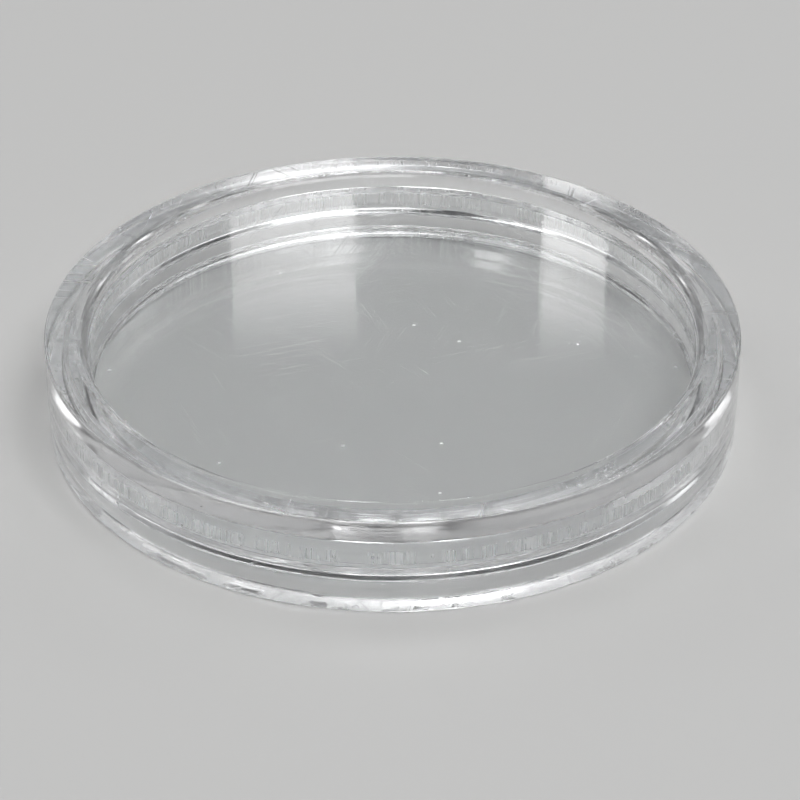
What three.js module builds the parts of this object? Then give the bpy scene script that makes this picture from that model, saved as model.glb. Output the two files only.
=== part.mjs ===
// Clear round capsule that holds one 40 mm coin. It has two mouldings and no other parts.
// The base is a shallow tray with an upright wall. The lid's skirt pushes down over that wall
// until the two outer rims almost meet, and a small groove for a fingernail is left between them.
// The skirt grips the wall in a narrow band only, because it is slightly wider below that band.
// Each window lies below its rim, so that the clear faces don't touch what the capsule rests on.
// Millimetres, +Z up. The origin is the centre of the plane that the base's foot rim rests on.

import * as THREE from "three";

// Overall size
const OUTER_RADIUS = 23.0;
const TOTAL_HEIGHT = 6.8;

// Windows and the rims around them
const WINDOW_THICKNESS = 1.0;
const WINDOW_DEPTH = 1.0;
const RIM_INNER_RADIUS = 20.2;
const SHOULDER_ROUND = 0.9;
const EDGE_CHAMFER = 0.2;

// Parting line between the lid's skirt and the base's flange
const SEAM_HEIGHT = 2.4;
const SEAM_GAP = 0.1;
const SEAM_CHAMFER = 0.15;
const FLANGE_SETBACK = 0.05;

// Lid's skirt and the base's wall that plugs into it
const SKIRT_THICKNESS = 1.2;
const SKIRT_RELIEF = 0.05;
const GRIP_LOWER_HEIGHT = 3.25;
const PLUG_CLEARANCE = 0.08;
const WALL_INNER_RADIUS = 20.15;
const WALL_TOP_GAP = 0.1;
const LEAD_IN_HEIGHT = 0.7;
const LEAD_IN_WIDTH = 0.25;

// Fineness. Both mouldings use the same number of sides, so their flat sides lie parallel.
const SIDES = 96;
const ARC_DIVISIONS = 3;

const HALF_TURN = Math.PI;
const QUARTER_TURN = Math.PI / 2;

// Turns an outline of (radius, height) points about +Z. It starts and ends on the axis.
function turnedMesh(name, outline, color) {
  const geometry = new THREE.LatheGeometry(outline.getPoints(ARC_DIVISIONS), SIDES);
  geometry.rotateX(QUARTER_TURN);
  const material = new THREE.MeshStandardMaterial({
    color,
    roughness: 0.08,
    metalness: 0,
    transparent: true,
    opacity: 0.35,
  });
  const mesh = new THREE.Mesh(geometry, material);
  mesh.name = name;
  return mesh;
}

// Window, round-shouldered rim and outer skirt in one moulding.
// The outline runs along the underside, round the skirt and back over the top.
function makeLid() {
  const windowTop = TOTAL_HEIGHT - WINDOW_DEPTH;
  const windowUnderside = windowTop - WINDOW_THICKNESS;
  const skirtEnd = SEAM_HEIGHT + SEAM_GAP / 2;
  const gripRadius = OUTER_RADIUS - SKIRT_THICKNESS;
  const reliefRadius = gripRadius + SKIRT_RELIEF;
  const shoulderCentre = RIM_INNER_RADIUS + SHOULDER_ROUND;
  const shoulderHeight = TOTAL_HEIGHT - SHOULDER_ROUND;

  const outline = new THREE.Path();
  outline.moveTo(0, windowUnderside);
  outline.lineTo(gripRadius, windowUnderside);
  outline.lineTo(gripRadius, GRIP_LOWER_HEIGHT);
  outline.lineTo(reliefRadius, GRIP_LOWER_HEIGHT - SKIRT_RELIEF);
  outline.lineTo(reliefRadius, skirtEnd + SEAM_CHAMFER);
  outline.lineTo(reliefRadius + SEAM_CHAMFER, skirtEnd);
  outline.lineTo(OUTER_RADIUS - SEAM_CHAMFER, skirtEnd);
  outline.lineTo(OUTER_RADIUS, skirtEnd + SEAM_CHAMFER);
  outline.lineTo(OUTER_RADIUS, TOTAL_HEIGHT - EDGE_CHAMFER);
  outline.lineTo(OUTER_RADIUS - EDGE_CHAMFER, TOTAL_HEIGHT);
  outline.absarc(shoulderCentre, shoulderHeight, SHOULDER_ROUND, QUARTER_TURN, HALF_TURN, false);
  outline.lineTo(RIM_INNER_RADIUS, windowTop);
  outline.lineTo(0, windowTop);
  return turnedMesh("lid_shell", outline, 0xf2f5f6);
}

// Window, foot rim, flange and the upright wall that plugs into the lid, in one moulding.
// The outline runs along the underside, up round the flange and wall, and back over the floor.
function makeBase() {
  const windowUnderside = WINDOW_DEPTH;
  const windowTop = windowUnderside + WINDOW_THICKNESS;
  const flangeTop = SEAM_HEIGHT - SEAM_GAP / 2;
  const flangeRadius = OUTER_RADIUS - FLANGE_SETBACK;
  const wallOuter = OUTER_RADIUS - SKIRT_THICKNESS - PLUG_CLEARANCE;
  const wallTop = TOTAL_HEIGHT - WINDOW_DEPTH - WINDOW_THICKNESS - WALL_TOP_GAP;
  const shoulderCentre = RIM_INNER_RADIUS + SHOULDER_ROUND;

  const outline = new THREE.Path();
  outline.moveTo(0, windowUnderside);
  outline.lineTo(RIM_INNER_RADIUS, windowUnderside);
  outline.absarc(shoulderCentre, SHOULDER_ROUND, SHOULDER_ROUND, -HALF_TURN, -QUARTER_TURN, false);
  outline.lineTo(flangeRadius - EDGE_CHAMFER, 0);
  outline.lineTo(flangeRadius, EDGE_CHAMFER);
  outline.lineTo(flangeRadius, flangeTop - SEAM_CHAMFER);
  outline.lineTo(flangeRadius - SEAM_CHAMFER, flangeTop);
  outline.lineTo(wallOuter, flangeTop);
  outline.lineTo(wallOuter, wallTop - LEAD_IN_HEIGHT);
  outline.lineTo(wallOuter - LEAD_IN_WIDTH, wallTop);
  outline.lineTo(WALL_INNER_RADIUS, wallTop);
  outline.lineTo(WALL_INNER_RADIUS, windowTop);
  outline.lineTo(0, windowTop);
  return turnedMesh("base_shell", outline, 0xe8edef);
}

const capsule = new THREE.Group();
capsule.add(makeBase());
capsule.add(makeLid());

export default capsule;
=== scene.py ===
"""Clear coin capsule: the two finished mouldings and their plastic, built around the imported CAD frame.

Radii, heights and depths are millimetres in the capsule's own frame, and MM turns them into Blender's
metres. Shader nodes work in metres, so noise scales are per metre.
"""
import math

import bmesh
import bpy
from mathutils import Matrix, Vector, noise


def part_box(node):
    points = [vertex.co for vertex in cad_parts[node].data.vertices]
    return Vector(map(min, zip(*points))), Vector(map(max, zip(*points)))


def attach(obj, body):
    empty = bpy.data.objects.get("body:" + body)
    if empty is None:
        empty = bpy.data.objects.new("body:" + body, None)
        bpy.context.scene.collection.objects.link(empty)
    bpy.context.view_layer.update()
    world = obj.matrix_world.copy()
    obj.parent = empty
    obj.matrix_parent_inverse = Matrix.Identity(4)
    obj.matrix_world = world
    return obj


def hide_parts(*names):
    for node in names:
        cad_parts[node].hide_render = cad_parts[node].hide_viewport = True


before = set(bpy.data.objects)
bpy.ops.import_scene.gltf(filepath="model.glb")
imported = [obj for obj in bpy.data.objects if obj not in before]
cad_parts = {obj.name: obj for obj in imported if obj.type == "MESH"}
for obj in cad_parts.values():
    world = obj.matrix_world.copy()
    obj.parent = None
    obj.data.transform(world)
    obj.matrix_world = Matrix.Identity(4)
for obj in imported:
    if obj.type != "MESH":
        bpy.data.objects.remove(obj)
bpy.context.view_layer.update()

MM = 0.001
MICRON = 0.000001

# ---------------------------------------------------------------- sizes, taken from the CAD frame


def node_size(node):
    """Lowest and highest z of a CAD node, and its outer radius, in millimetres."""
    low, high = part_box(node)
    return low.z / MM, high.z / MM, high.x / MM


def window_heights(node):
    """Heights of a node's two window faces, which are its points on the axis, in millimetres."""
    on_axis = [v.co.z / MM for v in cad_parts[node].data.vertices if v.co.xy.length < 0.01 * MM]
    return min(on_axis), max(on_axis)


SKIRT_END, TOTAL_HEIGHT, OUTER_RADIUS = node_size("lid_shell")
FOOT_HEIGHT, WALL_TOP, FLANGE_RADIUS = node_size("base_shell")
LID_WINDOW_UNDER, LID_WINDOW_TOP = window_heights("lid_shell")
BASE_WINDOW_UNDER, BASE_WINDOW_TOP = window_heights("base_shell")

# Inner sizes that the nodes' boxes don't show, as in the CAD model
SEAM_GAP = 0.1
RIM_WIDTH = 2.8
SKIRT_THICKNESS = 1.2
SKIRT_RELIEF = 0.05
GRIP_LOWER_HEIGHT = 3.25
PLUG_CLEARANCE = 0.08
WALL_INNER_RADIUS = 20.15
LEAD_IN_HEIGHT = 0.7
LEAD_IN_WIDTH = 0.25

FLANGE_TOP = SKIRT_END - SEAM_GAP
RIM_INNER_RADIUS = OUTER_RADIUS - RIM_WIDTH
GRIP_RADIUS = OUTER_RADIUS - SKIRT_THICKNESS
RELIEF_RADIUS = GRIP_RADIUS + SKIRT_RELIEF
WALL_RADIUS = GRIP_RADIUS - PLUG_CLEARANCE

# Roundings of the mouldings' edges
SHOULDER_ROUND = 0.9
OUTER_EDGE_ROUND = 0.2
SEAM_EDGE_ROUND = 0.12
SMALL_ROUND = 0.08
TINY_ROUND = 0.02
CAVITY_FILLET = 0.25

# Fineness of the turned meshes
SEGMENTS = 540
LONGEST_STEP = 0.75
HOLDING_STEP = 0.03
ARC_STEP = math.radians(15)

# ---------------------------------------------------------------- outlines


def rounded(corners):
    """Outline of (radius, height) points. A corner (radius, height, rounding) becomes a tangent arc."""
    points = [Vector(corners[0][:2])]
    for before, corner, after in zip(corners, corners[1:], corners[2:]):
        here = Vector(corner[:2])
        to_before = (Vector(before[:2]) - here).normalized()
        to_after = (Vector(after[:2]) - here).normalized()
        half_angle = to_before.angle(to_after) / 2
        reach = corner[2] / math.tan(half_angle)
        centre = here + (to_before + to_after).normalized() * corner[2] / math.sin(half_angle)
        start = here + to_before * reach - centre
        turn = start.angle_signed(here + to_after * reach - centre)
        steps = max(2, math.ceil(abs(turn) / ARC_STEP))
        for i in range(steps + 1):
            angle = -turn * i / steps
            spoke = Vector((start.x * math.cos(angle) - start.y * math.sin(angle),
                            start.x * math.sin(angle) + start.y * math.cos(angle)))
            points.append(centre + spoke)
    points.append(Vector(corners[-1][:2]))
    return points


def subdivided(points):
    """Adds points to long straight stretches: close to both ends, which keeps them flat, and between."""
    out = [points[0]]
    for a, b in zip(points, points[1:]):
        length = (b - a).length
        if length > 4 * HOLDING_STEP:
            hold = (b - a) * HOLDING_STEP / length
            first = a + hold if a.x > 0 else a
            last = b - hold if b.x > 0 else b
            steps = math.ceil((last - first).length / LONGEST_STEP)
            inner = [first.lerp(last, i / steps) for i in range(steps + 1)]
            out += [p for p in inner if (p - a).length > 0 and (p - b).length > 0]
        out.append(b)
    return out


def lid_outline():
    """From the middle of the underside, round the skirt and the rim, to the middle of the top."""
    return subdivided(rounded([
        (0, LID_WINDOW_UNDER),
        (GRIP_RADIUS, LID_WINDOW_UNDER, SMALL_ROUND),
        (GRIP_RADIUS, GRIP_LOWER_HEIGHT, TINY_ROUND),
        (RELIEF_RADIUS, GRIP_LOWER_HEIGHT - SKIRT_RELIEF, TINY_ROUND),
        (RELIEF_RADIUS, SKIRT_END, SEAM_EDGE_ROUND),
        (OUTER_RADIUS, SKIRT_END, SEAM_EDGE_ROUND),
        (OUTER_RADIUS, TOTAL_HEIGHT, OUTER_EDGE_ROUND),
        (RIM_INNER_RADIUS, TOTAL_HEIGHT, SHOULDER_ROUND),
        (RIM_INNER_RADIUS, LID_WINDOW_TOP, SMALL_ROUND),
        (0, LID_WINDOW_TOP),
    ]))


def base_outline():
    """From the middle of the underside, round the foot, flange and wall, to the middle of the floor."""
    return subdivided(rounded([
        (0, BASE_WINDOW_UNDER),
        (RIM_INNER_RADIUS, BASE_WINDOW_UNDER, SMALL_ROUND),
        (RIM_INNER_RADIUS, FOOT_HEIGHT, SHOULDER_ROUND),
        (FLANGE_RADIUS, FOOT_HEIGHT, OUTER_EDGE_ROUND),
        (FLANGE_RADIUS, FLANGE_TOP, SEAM_EDGE_ROUND),
        (WALL_RADIUS, FLANGE_TOP, SMALL_ROUND),
        (WALL_RADIUS, WALL_TOP - LEAD_IN_HEIGHT, SMALL_ROUND),
        (WALL_RADIUS - LEAD_IN_WIDTH, WALL_TOP, SMALL_ROUND),
        (WALL_INNER_RADIUS, WALL_TOP, SMALL_ROUND),
        (WALL_INNER_RADIUS, BASE_WINDOW_TOP, CAVITY_FILLET),
        (0, BASE_WINDOW_TOP),
    ]))


# ---------------------------------------------------------------- small unevenness of the real mouldings

# Long waves on the windows, and shorter ones on the upright faces
WINDOW_WAVE = 0.004
WINDOW_WAVE_LENGTH = 9.0
SIDE_WAVE = 0.004
SIDE_WAVE_LENGTH = 2.6
SIDE_WAVE_SQUEEZE = 2.5

# Nicks lie in a thin band at an outer edge, and get shallower away from it
NICK_DEPTH = 0.04
NICK_LENGTH = 0.9
NICK_SHARE = 0.25
NICK_BAND = 0.2
NICK_REACH = 0.3
TOP_EDGE_WEAR = 0.6
FOOT_EDGE_WEAR = 1.6
FOOT_NICK_REACH = 0.35

# Stubs that the moulds' gates leave on the outside: azimuth, height and how far they stand out
GATE_REACH = 0.45
LID_GATE = (math.radians(106), TOTAL_HEIGHT - 0.35, 0.06)
BASE_GATE = (math.radians(92), 1.2, 0.05)

# How close to a face a point still belongs to it
ON_FACE = 0.01
NEAR_FACE = 0.1
SKIRT_MARGIN = 0.05
OUTSIDE_MARGIN = 0.3
FILLET_MARGIN = 0.3
FOOT_MARGIN = 0.3
WALL_OUTSIDE_MARGIN = 0.4


def wave(point, wave_length, seed):
    """Smooth noise from -1 to 1 at a point in millimetres."""
    return noise.noise(point / wave_length + Vector((seed, 2 * seed, 3 * seed)))


def window_ripple(point, seed):
    """How far a window face stands proud at a point: long waves, as moulding and cooling leave."""
    return WINDOW_WAVE * wave(point, WINDOW_WAVE_LENGTH, seed)


def side_ripple(point, seed):
    """How far an upright face stands proud at a point."""
    squeezed = Vector((point.x, point.y, SIDE_WAVE_SQUEEZE * point.z))
    return SIDE_WAVE * wave(squeezed, SIDE_WAVE_LENGTH, seed)


def nicks(point, seed):
    """Depth of small nicks along an edge: nothing on most of it, and shallow bites here and there."""
    level = wave(point, NICK_LENGTH, seed) + 0.5 * wave(point, NICK_LENGTH / 3, seed + 5)
    return NICK_DEPTH * max(0.0, level - NICK_SHARE)


def near(value, place, reach):
    """1 at a place, falling smoothly to 0 at a distance of reach from it."""
    t = max(0.0, 1 - abs(value - place) / reach)
    return t * t * (3 - 2 * t)


def gate_mark(point, azimuth, height, depth):
    """How far the gate's small stub stands out at a point."""
    centre = Vector((math.cos(azimuth), math.sin(azimuth), 0)) * OUTER_RADIUS
    centre.z = height
    return depth * near((point - centre).length, 0, GATE_REACH)


def lid_offset(radius, height, point):
    """(outward, upward) shift of a point of the lid."""
    out, up = 0.0, 0.0
    if radius < RIM_INNER_RADIUS and height > LID_WINDOW_UNDER - ON_FACE:
        up = window_ripple(point, seed=11 if height > LID_WINDOW_TOP - NEAR_FACE else 17)
    elif radius > GRIP_RADIUS - SKIRT_MARGIN:
        out = side_ripple(point, seed=23 if radius > OUTER_RADIUS - OUTSIDE_MARGIN else 29)
    if radius > OUTER_RADIUS - NICK_BAND:
        out -= nicks(point, seed=41) * near(height, SKIRT_END, NICK_REACH)
        out -= TOP_EDGE_WEAR * nicks(point, seed=43) * near(height, TOTAL_HEIGHT, NICK_REACH)
    out += gate_mark(point, *LID_GATE)
    return out, up


def base_offset(radius, height, point):
    """(outward, upward) shift of a point of the base."""
    out, up = 0.0, 0.0
    on_window = BASE_WINDOW_UNDER - ON_FACE < height < BASE_WINDOW_TOP + ON_FACE
    if radius < WALL_INNER_RADIUS - FILLET_MARGIN and on_window:
        up = window_ripple(point, seed=13 if height > BASE_WINDOW_TOP - NEAR_FACE else 19)
    elif radius > WALL_INNER_RADIUS - NEAR_FACE and height > FOOT_MARGIN:
        out = side_ripple(point, seed=31 if radius > WALL_RADIUS - WALL_OUTSIDE_MARGIN else 37)
    if radius > FLANGE_RADIUS - NICK_BAND:
        out -= nicks(point, seed=47) * near(height, FLANGE_TOP, NICK_REACH)
        out -= FOOT_EDGE_WEAR * nicks(point, seed=53) * near(height, FOOT_HEIGHT, FOOT_NICK_REACH)
    out += gate_mark(point, *BASE_GATE)
    return out, up


# ---------------------------------------------------------------- turned meshes


def turned_piece(name, outline, offset, zone_of, materials):
    """A smooth body of revolution in metres. offset bends its points, and zone_of sorts its faces."""
    mesh = bpy.data.meshes.new(name)
    bm = bmesh.new()
    rings = []
    for radius, height in outline:
        spokes = SEGMENTS if radius > 0 else 1
        ring = []
        for k in range(spokes):
            angle = 2 * math.pi * k / SEGMENTS
            point = Vector((radius * math.cos(angle), radius * math.sin(angle), height))
            out, up = offset(radius, height, point)
            shift = Vector((out * math.cos(angle), out * math.sin(angle), up))
            ring.append(bm.verts.new((point + shift) * MM))
        rings.append(ring)
    for a, b, before, after in zip(rings, rings[1:], outline, outline[1:]):
        middle = (before + after) / 2
        zone = zone_of(middle.x, middle.y, after - before)
        for k in range(SEGMENTS):
            nxt = (k + 1) % SEGMENTS
            if len(a) == 1:
                corners = (a[0], b[k], b[nxt])
            elif len(b) == 1:
                corners = (a[k], b[0], a[nxt])
            else:
                corners = (a[k], b[k], b[nxt], a[nxt])
            face = bm.faces.new(corners)
            face.material_index = zone
            face.smooth = True
    bmesh.ops.recalc_face_normals(bm, faces=bm.faces)
    bm.to_mesh(mesh)
    bm.free()
    for material in materials:
        mesh.materials.append(material)
    piece = bpy.data.objects.new(name, mesh)
    bpy.context.scene.collection.objects.link(piece)
    return piece


# Bubbles trapped in the skirt, as (azimuth in degrees, radius from the axis, height, bubble radius)
BUBBLES = [
    (-99.1, 22.4, 3.84, 0.12),
    (-93.1, 22.3, 3.93, 0.10),
    (-92.3, 22.3, 3.90, 0.05),
    (-83.9, 22.4, 3.97, 0.12),
    (-52.0, 22.5, 5.40, 0.06),
    (38.0, 22.3, 4.60, 0.08),
    (161.0, 22.4, 5.10, 0.07),
]


def add_bubbles(piece):
    """Puts the bubbles into the piece's mesh as tiny hollows, whose faces look inward."""
    bm = bmesh.new()
    bm.from_mesh(piece.data)
    for azimuth, radius, height, size in BUBBLES:
        angle = math.radians(azimuth)
        centre = Vector((radius * math.cos(angle), radius * math.sin(angle), height)) * MM
        made = bmesh.ops.create_icosphere(bm, subdivisions=2, radius=size * MM)
        bmesh.ops.translate(bm, verts=made["verts"], vec=centre)
        faces = {f for v in made["verts"] for f in v.link_faces}
        bmesh.ops.reverse_faces(bm, faces=list(faces))
        for face in faces:
            face.smooth = True
            face.material_index = RIM
    bm.to_mesh(piece.data)
    bm.free()


# ---------------------------------------------------------------- clear plastic

# The zones' plastics, by their place in the pieces' material lists
WINDOW, RIM, GRIP, FOOT = range(4)

PLASTIC_IOR = 1.49
WINDOW_TINT = (0.985, 0.99, 0.99)
RIM_TINT = (0.975, 0.98, 0.985)
GRIP_TINT = (0.965, 0.97, 0.975)
FOOT_TINT = (0.96, 0.965, 0.97)


class Nodes:
    """A clear plastic with a nearly white tint, and short ways to add and link its shader nodes."""

    def __init__(self, name, tint):
        self.material = bpy.data.materials.new(name)
        self.material.use_nodes = True
        self.tree = self.material.node_tree
        self.shader = self.tree.nodes["Principled BSDF"]
        self.shader.inputs["Base Color"].default_value = (*tint, 1)
        self.shader.inputs["IOR"].default_value = PLASTIC_IOR
        self.shader.inputs["Transmission Weight"].default_value = 1
        self.place = self.tree.nodes.new("ShaderNodeTexCoord").outputs["Object"]

    def add(self, kind, **inputs):
        """A new node. Its inputs go by name, with _ for a space, or by place as i0, i1 and so on."""
        node = self.tree.nodes.new(kind)
        for key, value in inputs.items():
            by_place = key[0] == "i" and key[1:].isdigit()
            socket = node.inputs[int(key[1:]) if by_place else key.replace("_", " ")]
            self.put(value, socket)
        return node

    def put(self, value, socket):
        """Links an output into a socket, or sets the socket to a number."""
        if isinstance(value, bpy.types.NodeSocket):
            self.tree.links.new(value, socket)
        else:
            socket.default_value = value

    def math(self, operation, a, b, clamp=False):
        """The result of a Math node."""
        node = self.add("ShaderNodeMath", i0=a, i1=b)
        node.operation = operation
        node.use_clamp = clamp
        return node.outputs[0]

    def mapped(self, scale, turn=0.0, shift=(0, 0, 0)):
        """Object coordinates, turned about z, scaled along each axis and shifted."""
        turned = self.add("ShaderNodeMapping", Vector=self.place, Rotation=(0, 0, turn))
        scaled = self.add("ShaderNodeMapping", Vector=turned.outputs[0], Scale=scale, Location=shift)
        return scaled.outputs[0]

    def noise(self, where, detail=2.0, roughness=0.5):
        """Noise from 0 to 1 at mapped coordinates."""
        node = self.add("ShaderNodeTexNoise", Vector=where, Scale=1.0, Detail=detail,
                        Roughness=roughness)
        return node.outputs[0]

    def step(self, value, low, high, to_low=0.0, to_high=1.0):
        """Maps a value's stretch from low to high onto another stretch, smoothly and clamped."""
        node = self.add("ShaderNodeMapRange", Value=value, From_Min=low, From_Max=high,
                        To_Min=to_low, To_Max=to_high)
        node.interpolation_type = "SMOOTHSTEP"
        return node.outputs[0]

    def radius(self):
        """Distance from the capsule's axis, in metres."""
        flat = self.add("ShaderNodeVectorMath", i0=self.place, i1=(1, 1, 0))
        flat.operation = "MULTIPLY"
        length = self.add("ShaderNodeVectorMath", i0=flat.outputs[0])
        length.operation = "LENGTH"
        return length.outputs["Value"]

    def height(self):
        """Height above the foot, in metres."""
        return self.add("ShaderNodeSeparateXYZ", Vector=self.place).outputs["Z"]

    def layered(self, polish, marks):
        """Roughness: that of the polished face, with marks added, each as (where, how rough)."""
        total = polish
        for where, rough in marks:
            total = self.math("ADD", self.math("MULTIPLY", where, rough), total, clamp=True)
        return total

    def finish(self, roughness, bumps):
        """Links the roughness, and chains bumps given as (height, depth in microns)."""
        self.put(roughness, self.shader.inputs["Roughness"])
        normal = None
        for level, depth in bumps:
            bump = self.add("ShaderNodeBump", Height=level, Distance=depth * MICRON, Strength=1.0)
            if normal is not None:
                self.put(normal, bump.inputs["Normal"])
            normal = bump.outputs["Normal"]
        self.put(normal, self.shader.inputs["Normal"])
        return self.material


# How much longer than wide a scratch is, and how softly it ends across
LINE_STRETCH = 60
LINE_SOFTNESS = 0.03


def hairlines(n, directions, spacing, gap, sharpness):
    """Thin scratches in a few straight directions, each broken up along its length.

    The shifts only keep the patterns of the directions apart.
    """
    total = 0.0
    for i, turn in enumerate(directions):
        stretched = (spacing, spacing / LINE_STRETCH, spacing / LINE_STRETCH)
        across = n.noise(n.mapped(stretched, turn, shift=(i * 7.3, i, 0)), 1.0)
        lines = n.step(across, sharpness, sharpness + LINE_SOFTNESS)
        patches = n.noise(n.mapped((gap, gap, gap), shift=(3.1 * i, 5, 0)), 1.0)
        broken = n.math("MULTIPLY", lines, n.step(patches, 0.48, 0.6))
        total = n.math("ADD", total, broken, clamp=True)
    return total


def specks(n, per_metre, share):
    """Small round pits and dust specks, in a share of the cells of a fine pattern."""
    cells = n.add("ShaderNodeTexVoronoi", Vector=n.mapped((per_metre,) * 3), Scale=1.0, Randomness=1.0)
    lot = n.add("ShaderNodeSeparateColor", Color=cells.outputs["Color"]).outputs[0]
    chosen = n.math("GREATER_THAN", lot, 1 - share)
    dot = n.step(cells.outputs["Distance"], 0.05, 0.12, to_low=1.0, to_high=0.0)
    return n.math("MULTIPLY", dot, chosen)


def window_plastic():
    """Polished window: faint rings from moulding, fine hairlines, dust pits and a thin handling haze."""
    n = Nodes("clear_window", WINDOW_TINT)
    lines = hairlines(n, directions=[0.35, 1.25, 2.4, 2.75], spacing=6500, gap=110, sharpness=0.71)
    pits = specks(n, per_metre=650, share=0.06)
    cloud = n.noise(n.mapped((95, 95, 95)), detail=4.0, roughness=0.6)
    haze = n.step(cloud, 0.5, 0.72, to_high=0.04)
    along_radius = n.add("ShaderNodeCombineXYZ", X=n.math("MULTIPLY", n.radius(), 900))
    rings = n.noise(along_radius.outputs[0], detail=1.0)
    towards_edge = n.step(n.radius(), 13 * MM, 20 * MM)
    roughness = n.layered(0.01, [(lines, 0.16), (haze, 1), (pits, 0.6)])
    return n.finish(roughness, [
        (n.math("MULTIPLY", rings, towards_edge), 3),
        (lines, -1),
        (pits, -10),
    ])


def rim_plastic():
    """Moulded rim and skirt: rings of tool marks, soft ripples, rubbed patches and a few scratches."""
    n = Nodes("clear_rim", RIM_TINT)
    tool_marks = n.noise(n.mapped((40, 40, 7000)), detail=2.0)
    ripple = n.noise(n.mapped((330, 330, 500)), detail=1.0)
    lines = hairlines(n, directions=[0.2, 0.9, 1.7, 2.3], spacing=5000, gap=170, sharpness=0.69)
    pits = specks(n, per_metre=700, share=0.08)
    cloud = n.noise(n.mapped((160, 160, 420)), detail=5.0, roughness=0.65)
    rubbed = n.step(cloud, 0.42, 0.75, to_high=0.14)
    on_top = n.step(n.height(), (TOTAL_HEIGHT - 0.2) * MM, (TOTAL_HEIGHT - 0.02) * MM, to_low=0.4)
    shown_lines = n.math("MULTIPLY", lines, on_top)
    roughness = n.layered(0.04, [(shown_lines, 0.2), (rubbed, 1), (pits, 0.5)])
    return n.finish(roughness, [
        (tool_marks, 0.4),
        (ripple, 4),
        (lines, -1.5),
        (pits, -10),
    ])


def grip_plastic():
    """Rubbed faces of the push fit: upright streaks in patches, left by the lid going on and off."""
    n = Nodes("clear_grip", GRIP_TINT)
    streaks = n.noise(n.mapped((5200, 5200, 160)), detail=3.0, roughness=0.6)
    broad = n.noise(n.mapped((900, 900, 120)), detail=2.0)
    cloud = n.noise(n.mapped((170, 170, 500)), detail=3.0, roughness=0.55)
    patches = n.step(cloud, 0.5, 0.7)
    band_start = GRIP_LOWER_HEIGHT
    band_end = WALL_TOP - LEAD_IN_HEIGHT
    above_start = n.step(n.height(), (band_start - 0.13) * MM, band_start * MM)
    below_end = n.step(n.height(), band_end * MM, (band_end + 0.15) * MM, to_low=1.0, to_high=0.0)
    in_band = n.math("MULTIPLY", above_start, below_end)
    cover = n.math("MAXIMUM", in_band, patches)
    strong = n.step(n.math("ADD", streaks, n.math("MULTIPLY", broad, 0.5)), 0.7, 0.95)
    scuffs = n.math("MULTIPLY", strong, cover)
    roughness = n.layered(0.03, [(scuffs, 0.35), (in_band, 0.05)])
    return n.finish(roughness, [(streaks, 0.4), (scuffs, -0.8)])


def foot_plastic():
    """Worn foot and its outer edge: rubbed dull and chipped where the capsule slides on things."""
    n = Nodes("clear_foot", FOOT_TINT)
    grit = n.noise(n.mapped((2600, 2600, 2600)), detail=5.0, roughness=0.7)
    cloud = n.noise(n.mapped((320, 320, 900)), detail=4.0, roughness=0.6)
    wear = n.step(cloud, 0.36, 0.62)
    worn_grit = n.math("MULTIPLY", grit, wear)
    lines = hairlines(n, directions=[0.1, 0.6, 1.1, 1.6, 2.2, 2.8], spacing=1900, gap=260, sharpness=0.64)
    roughness = n.layered(0.08, [(worn_grit, 0.85), (lines, 0.25)])
    return n.finish(roughness, [(worn_grit, 15), (lines, -3)])


# Where the zones end, measured from the faces and edges that bound them
WINDOW_EDGE = 0.02
RELIEF_EDGE = 0.02
SEAM_BAND = 0.1
FLANGE_BAND = 0.05
WALL_TOP_BAND = 0.5
LEAD_IN_BAND = 0.3
FOOT_WEAR_HEIGHT = 0.12
FOOT_WEAR_INSET = 0.6


def is_level(along):
    """Whether a stretch of an outline runs straight across."""
    return abs(along.y) < 0.01


def lid_zone(radius, height, along):
    """Which plastic a stretch of the lid's outline has."""
    if radius < RIM_INNER_RADIUS - WINDOW_EDGE and is_level(along):
        return WINDOW
    if radius < RELIEF_RADIUS + RELIEF_EDGE and SKIRT_END + SEAM_BAND < height < LID_WINDOW_UNDER:
        return GRIP
    return RIM


def base_zone(radius, height, along):
    """Which plastic a stretch of the base's outline has."""
    if radius < RIM_INNER_RADIUS - FILLET_MARGIN and is_level(along) and height < WALL_TOP - WALL_TOP_BAND:
        return WINDOW
    if radius > WALL_RADIUS - LEAD_IN_BAND and height > FLANGE_TOP + FLANGE_BAND:
        return GRIP
    if height < FOOT_WEAR_HEIGHT and radius > RIM_INNER_RADIUS + FOOT_WEAR_INSET:
        return FOOT
    return RIM


plastics = [window_plastic(), rim_plastic(), grip_plastic(), foot_plastic()]

lid = turned_piece("lid_clear", lid_outline(), lid_offset, lid_zone, plastics)
add_bubbles(lid)
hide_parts("lid_shell")
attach(lid, "lid")

base = turned_piece("base_clear", base_outline(), base_offset, base_zone, plastics)
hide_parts("base_shell")
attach(base, "base")

# ---------------------------------------------------------------- floor, light and camera

FLOOR_HALF_SIDE = 3.0
FLOOR_DROP = 0.02
FLOOR_COLOUR = (0.47, 0.47, 0.466, 1)
STUDIO_COLOUR = (0.06, 0.06, 0.062, 1)


def make_floor():
    """Plain pale matt floor, a hair below the foot so that the two don't share a plane."""
    mesh = bpy.data.meshes.new("floor")
    side = FLOOR_HALF_SIDE
    drop = -FLOOR_DROP * MM
    corners = [(-side, -side, drop), (side, -side, drop), (side, side, drop), (-side, side, drop)]
    mesh.from_pydata(corners, [], [(0, 1, 2, 3)])
    material = bpy.data.materials.new("floor_paper")
    material.use_nodes = True
    shader = material.node_tree.nodes["Principled BSDF"]
    shader.inputs["Base Color"].default_value = FLOOR_COLOUR
    shader.inputs["Specular IOR Level"].default_value = 0.15
    shader.inputs["Roughness"].default_value = 0.8
    mesh.materials.append(material)
    floor = bpy.data.objects.new("floor", mesh)
    bpy.context.scene.collection.objects.link(floor)


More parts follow.
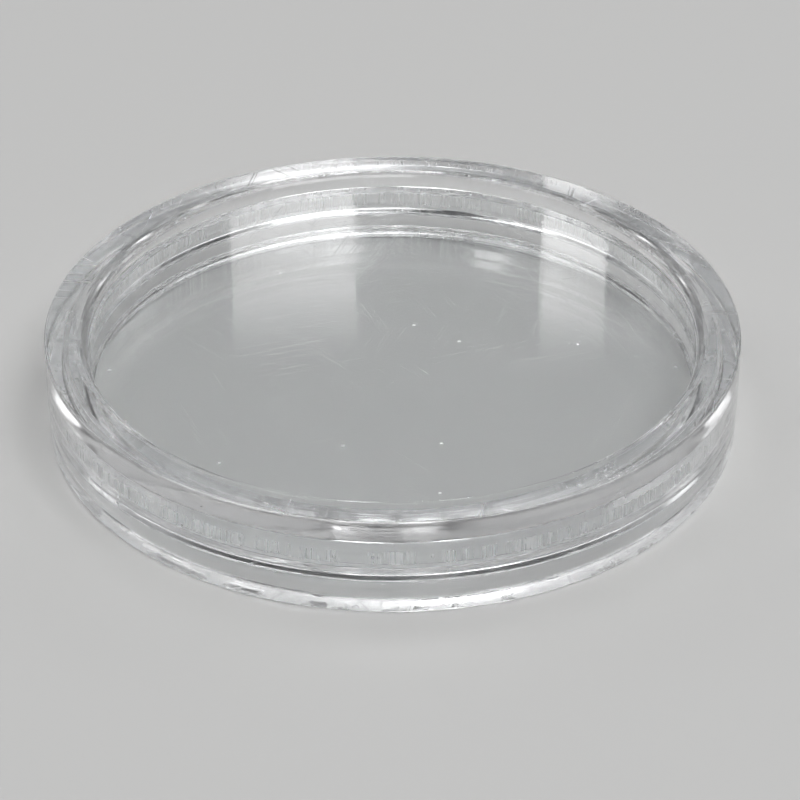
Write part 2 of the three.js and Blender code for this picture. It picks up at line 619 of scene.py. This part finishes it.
def soft_light(name, azimuth, elevation, distance, width, height, watts):
    """Rectangular soft light aimed at the capsule. Azimuth 0 is behind it, 90 to its right.

    Azimuth and elevation are degrees, and the distance, width and height are metres.
    """
    light = bpy.data.lights.new(name, "AREA")
    light.shape = "RECTANGLE"
    light.size = width
    light.size_y = height
    light.energy = watts
    lamp = bpy.data.objects.new(name, light)
    bpy.context.scene.collection.objects.link(lamp)
    az, el = math.radians(azimuth), math.radians(elevation)
    towards = Vector((math.sin(az) * math.cos(el), math.cos(az) * math.cos(el), math.sin(el)))
    lamp.location = towards * distance
    lamp.rotation_euler = (-lamp.location).to_track_quat("-Z", "Y").to_euler()
    return light


def fade_upward(light, start, end):
    """Dims a panel towards its upper edge, from start to end as shares of its height."""
    light.use_nodes = True
    tree = light.node_tree
    across = tree.nodes.new("ShaderNodeNewGeometry").outputs["Parametric"]
    split = tree.nodes.new("ShaderNodeSeparateXYZ")
    ramp = tree.nodes.new("ShaderNodeMapRange")
    ramp.interpolation_type = "SMOOTHSTEP"
    for name, value in (("From Min", start), ("From Max", end), ("To Min", 1), ("To Max", 0)):
        ramp.inputs[name].default_value = value
    tree.links.new(across, split.inputs[0])
    tree.links.new(split.outputs["Y"], ramp.inputs["Value"])
    tree.links.new(ramp.outputs[0], tree.nodes["Emission"].inputs["Strength"])


def make_lights():
    """Narrow panels, whose images lie on the rim and walls, and broad ones above the sides and front."""
    for side, azimuth, width, watts in (("left", -2.6, 0.049, 0.13), ("right", 4.75, 0.026, 0.11)):
        low = soft_light("panel_back_" + side, azimuth, 24.8, 1.0, width, 0.31, watts)
        fade_upward(low, start=0.65, end=0.95)
    soft_light("panel_high_left", -5.5, 68, 1.0, 0.05, 0.35, 0.5)
    soft_light("panel_high_right", 9.5, 68, 1.0, 0.03, 0.35, 0.35)
    for side, sign in (("left", -1), ("right", 1)):
        soft_light("panel_edge_" + side, sign * 29, 31.5, 1.0, 0.62, 0.22, 0.17)
        soft_light("strip_" + side, sign * 66, 31.5, 0.9, 0.24, 0.36, 0.6)
        soft_light("panel_" + side, sign * 78, 62, 0.9, 0.7, 0.5, 2.0)
    soft_light("panel_front", 152, 63, 1.1, 0.7, 0.7, 8.0)


def make_world():
    """Dim even light from all round, as in a dark studio."""
    world = bpy.data.worlds.new("studio")
    world.use_nodes = True
    world.node_tree.nodes["Background"].inputs["Color"].default_value = STUDIO_COLOUR
    bpy.context.scene.world = world


# The camera's direction and distance from the lid's top centre, and where it aims, measured from there
VIEW_ELEVATION = math.radians(31.56)
VIEW_DISTANCE = 200.0
AIM = Vector((0.48, -2.72, -4.42))
FOCAL_LENGTH = 135.9


def make_camera():
    """Long lens from the front, looking down at the lid."""
    camera = bpy.data.cameras.new("camera")
    camera.lens = FOCAL_LENGTH
    camera.sensor_width = 36
    camera.clip_start = 0.001
    body = bpy.data.objects.new("camera", camera)
    bpy.context.scene.collection.objects.link(body)
    top = Vector((0, 0, TOTAL_HEIGHT))
    place = top + Vector((0, -math.cos(VIEW_ELEVATION), math.sin(VIEW_ELEVATION))) * VIEW_DISTANCE
    body.location = place * MM
    body.rotation_euler = (top + AIM - place).to_track_quat("-Z", "Y").to_euler()
    bpy.context.scene.camera = body


def set_light_paths():
    """Lets light run the long way through clear plastic: the windows guide it by total reflection."""
    scene = bpy.context.scene
    scene.cycles.max_bounces = 48
    scene.cycles.transmission_bounces = 40
    scene.cycles.glossy_bounces = 40
    scene.cycles.blur_glossy = 0.0
    scene.cycles.sample_clamp_indirect = 0.0
    scene.cycles.use_denoising = True
    scene.view_settings.view_transform = "Standard"


make_floor()
make_lights()
make_world()
make_camera()
set_light_paths()
